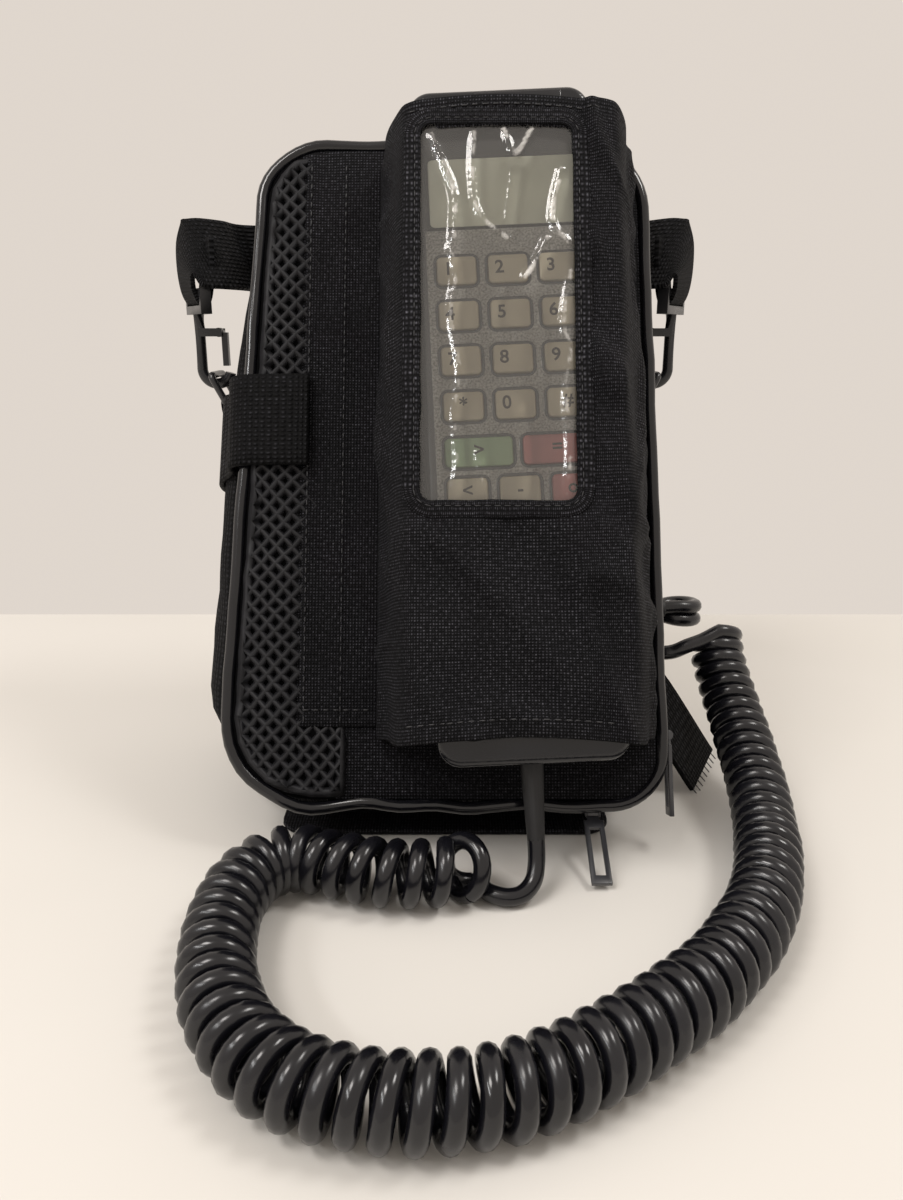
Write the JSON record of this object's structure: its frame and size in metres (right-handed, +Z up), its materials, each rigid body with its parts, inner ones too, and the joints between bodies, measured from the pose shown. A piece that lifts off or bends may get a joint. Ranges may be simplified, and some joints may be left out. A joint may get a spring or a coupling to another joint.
{
  "type": "transportable bag telephone",
  "caption": "Soft zipped carry-bag telephone with a corded keypad handset in a windowed front sleeve and a curly cord lying in front.",
  "frame": {"origin": "centre of the bag's flat base, on the surface it stands on", "axes": "+Z up, +X to the right of someone facing the handset, -Y towards them"},
  "size_m": [0.2221, 0.2529, 0.2369],
  "materials": {
    "nylon_weave": "woven nylon, matt",
    "gusset_knit": "knitted spacer cloth",
    "mesh_net": "open polyester net",
    "piping_vinyl": "glossy extruded vinyl",
    "clear_vinyl": "clear wrinkled vinyl sheet",
    "webbing": "woven webbing",
    "zip_coil": "nylon teeth on tape",
    "zip_metal": "black enamelled",
    "ring_wire": "black enamelled wire",
    "hook_plastic": "moulded acetal, satin",
    "radio_case": "textured paint",
    "battery_case": "moulded",
    "relief_rubber": "moulded, satin",
    "cord_jacket": "glossy polyurethane",
    "case_black": "fine texture",
    "face_grey": "speckled texture",
    "screw_steel": "zinc plated",
    "lens_acrylic": "polished acrylic",
    "lcd_glass": "display glass",
    "mat_rubber": "moulded silicone",
    "board": "solder mask",
    "sound_parts": "moulded",
    "key_beige": "moulded silicone, printed",
    "key_green": "moulded silicone",
    "key_red": "moulded silicone"
  },
  "bodies": {
    "root": {"gusset": "gusset_knit", "back_panel": "nylon_weave", "rear_piping": "piping_vinyl", "base_panel": "nylon_weave", "side_band_rear": "webbing", "zip_row_rear": "zip_coil", "webbing_tail": "webbing", "ring_tabs": "webbing", "d_rings": "ring_wire", "snap_hook_left": "hook_plastic", "snap_hook_right": "hook_plastic", "shoulder_strap": "webbing", "transceiver": "radio_case", "battery_pack": "battery_case", "cord_grommet": "relief_rubber", "cord_rear_turns": "cord_jacket", "cord_lead": "cord_jacket", "cord_coil": "cord_jacket", "cord_tail": "cord_jacket"},
    "front_cover": {"front_panel": "nylon_weave", "front_mesh": "mesh_net", "front_piping": "piping_vinyl", "pocket_panel": "nylon_weave", "handset_sleeve": "nylon_weave", "sleeve_window": "clear_vinyl", "side_band_front": "webbing", "zip_row_front": "zip_coil"},
    "handset": {"rear_shell": "case_black", "front_shell": "face_grey", "case_screws": "screw_steel", "display_lens": "lens_acrylic", "lcd_module": "lcd_glass", "keypad_mat": "mat_rubber", "circuit_board": "board", "earpiece": "sound_parts", "microphone": "sound_parts", "strain_relief": "relief_rubber"},
    "zip_slider_side": {"zip_slider_side": "zip_metal"},
    "zip_pull_side": {"zip_pull_side": "zip_metal"},
    "zip_slider_bottom": {"zip_slider_bottom": "zip_metal"},
    "zip_pull_bottom": {"zip_pull_bottom": "zip_metal"},
    "hook_gate_left": {"hook_gate_left": "hook_plastic"},
    "hook_gate_right": {"hook_gate_right": "hook_plastic"},
    "key_1": {"key_1": "key_beige"},
    "key_2": {"key_2": "key_beige"},
    "key_3": {"key_3": "key_beige"},
    "key_4": {"key_4": "key_beige"},
    "key_5": {"key_5": "key_beige"},
    "key_6": {"key_6": "key_beige"},
    "key_7": {"key_7": "key_beige"},
    "key_8": {"key_8": "key_beige"},
    "key_9": {"key_9": "key_beige"},
    "key_star": {"key_star": "key_beige"},
    "key_0": {"key_0": "key_beige"},
    "key_hash": {"key_hash": "key_beige"},
    "key_send": {"key_send": "key_green"},
    "key_end": {"key_end": "key_red"},
    "key_recall": {"key_recall": "key_beige"},
    "key_clear": {"key_clear": "key_beige"},
    "key_power": {"key_power": "key_red"}
  },
  "joints": [
    {"name": "cover_hinge", "type": "hinge", "parent": "root", "child": "front_cover", "pos_m": [-0.0732, -0.03373, 0.04184], "axis": [-0.0462, -0.3742, -0.9262], "range_deg": [0, 110], "deforming": ["cord_tail"]},
    {"name": "handset_slide", "type": "slide", "parent": "front_cover", "child": "handset", "axis": [-0.048, 0.3742, 0.9261], "range_m": [0, 0.2], "deforming": ["cord_tail"]},
    {"name": "key_1_press", "type": "slide", "parent": "handset", "child": "key_1", "axis": [0, 0.9272, -0.3746], "range_m": [0, 0.001], "stiffness_N_per_m": 300},
    {"name": "key_2_press", "type": "slide", "parent": "handset", "child": "key_2", "axis": [0, 0.9272, -0.3746], "range_m": [0, 0.001], "stiffness_N_per_m": 300},
    {"name": "key_3_press", "type": "slide", "parent": "handset", "child": "key_3", "axis": [0, 0.9272, -0.3746], "range_m": [0, 0.001], "stiffness_N_per_m": 300},
    {"name": "key_4_press", "type": "slide", "parent": "handset", "child": "key_4", "axis": [0, 0.9272, -0.3746], "range_m": [0, 0.001], "stiffness_N_per_m": 300},
    {"name": "key_5_press", "type": "slide", "parent": "handset", "child": "key_5", "axis": [0, 0.9272, -0.3746], "range_m": [0, 0.001], "stiffness_N_per_m": 300},
    {"name": "key_6_press", "type": "slide", "parent": "handset", "child": "key_6", "axis": [0, 0.9272, -0.3746], "range_m": [0, 0.001], "stiffness_N_per_m": 300},
    {"name": "key_7_press", "type": "slide", "parent": "handset", "child": "key_7", "axis": [0, 0.9272, -0.3746], "range_m": [0, 0.001], "stiffness_N_per_m": 300},
    {"name": "key_8_press", "type": "slide", "parent": "handset", "child": "key_8", "axis": [0, 0.9272, -0.3746], "range_m": [0, 0.001], "stiffness_N_per_m": 300},
    {"name": "key_9_press", "type": "slide", "parent": "handset", "child": "key_9", "axis": [0, 0.9272, -0.3746], "range_m": [0, 0.001], "stiffness_N_per_m": 300},
    {"name": "key_star_press", "type": "slide", "parent": "handset", "child": "key_star", "axis": [0, 0.9272, -0.3746], "range_m": [0, 0.001], "stiffness_N_per_m": 300},
    {"name": "key_0_press", "type": "slide", "parent": "handset", "child": "key_0", "axis": [0, 0.9272, -0.3746], "range_m": [0, 0.001], "stiffness_N_per_m": 300},
    {"name": "key_hash_press", "type": "slide", "parent": "handset", "child": "key_hash", "axis": [0, 0.9272, -0.3746], "range_m": [0, 0.001], "stiffness_N_per_m": 300},
    {"name": "key_send_press", "type": "slide", "parent": "handset", "child": "key_send", "axis": [0, 0.9272, -0.3746], "range_m": [0, 0.001], "stiffness_N_per_m": 300},
    {"name": "key_end_press", "type": "slide", "parent": "handset", "child": "key_end", "axis": [0, 0.9272, -0.3746], "range_m": [0, 0.001], "stiffness_N_per_m": 300},
    {"name": "key_recall_press", "type": "slide", "parent": "handset", "child": "key_recall", "axis": [0, 0.9272, -0.3746], "range_m": [0, 0.001], "stiffness_N_per_m": 300},
    {"name": "key_clear_press", "type": "slide", "parent": "handset", "child": "key_clear", "axis": [0, 0.9272, -0.3746], "range_m": [0, 0.001], "stiffness_N_per_m": 300},
    {"name": "key_power_press", "type": "slide", "parent": "handset", "child": "key_power", "axis": [0, 0.9272, -0.3746], "range_m": [0, 0.001], "stiffness_N_per_m": 300},
    {"name": "side_zip_slide", "type": "slide", "parent": "root", "child": "zip_slider_side", "axis": [-0.0135, 0.3746, 0.9271], "range_m": [0, 0.15]},
    {"name": "side_pull_swing", "type": "hinge", "parent": "zip_slider_side", "child": "zip_pull_side", "pos_m": [0.07292, -0.03523, 0.03625], "axis": [0, -0.9272, 0.3746], "range_deg": [0, 150]},
    {"name": "bottom_zip_slide", "type": "slide", "parent": "root", "child": "zip_slider_bottom", "axis": [-1, 0, 0], "range_m": [0, 0.07]},
    {"name": "bottom_pull_swing", "type": "hinge", "parent": "zip_slider_bottom", "child": "zip_pull_bottom", "pos_m": [0.048, -0.04469, 0.01283], "axis": [-1, 0, 0], "range_deg": [0, 40]},
    {"name": "hook_gate_left_swing", "type": "hinge", "parent": "root", "child": "hook_gate_left", "pos_m": [-0.0862, 0.052, 0.163], "axis": [0, 1, 0], "range_deg": [0, 28], "stiffness_Nm_per_rad": 0.02},
    {"name": "hook_gate_right_swing", "type": "hinge", "parent": "root", "child": "hook_gate_right", "pos_m": [0.078, 0.052, 0.163], "axis": [0, -1, 0], "range_deg": [0, 28], "stiffness_Nm_per_rad": 0.02}
  ]
}
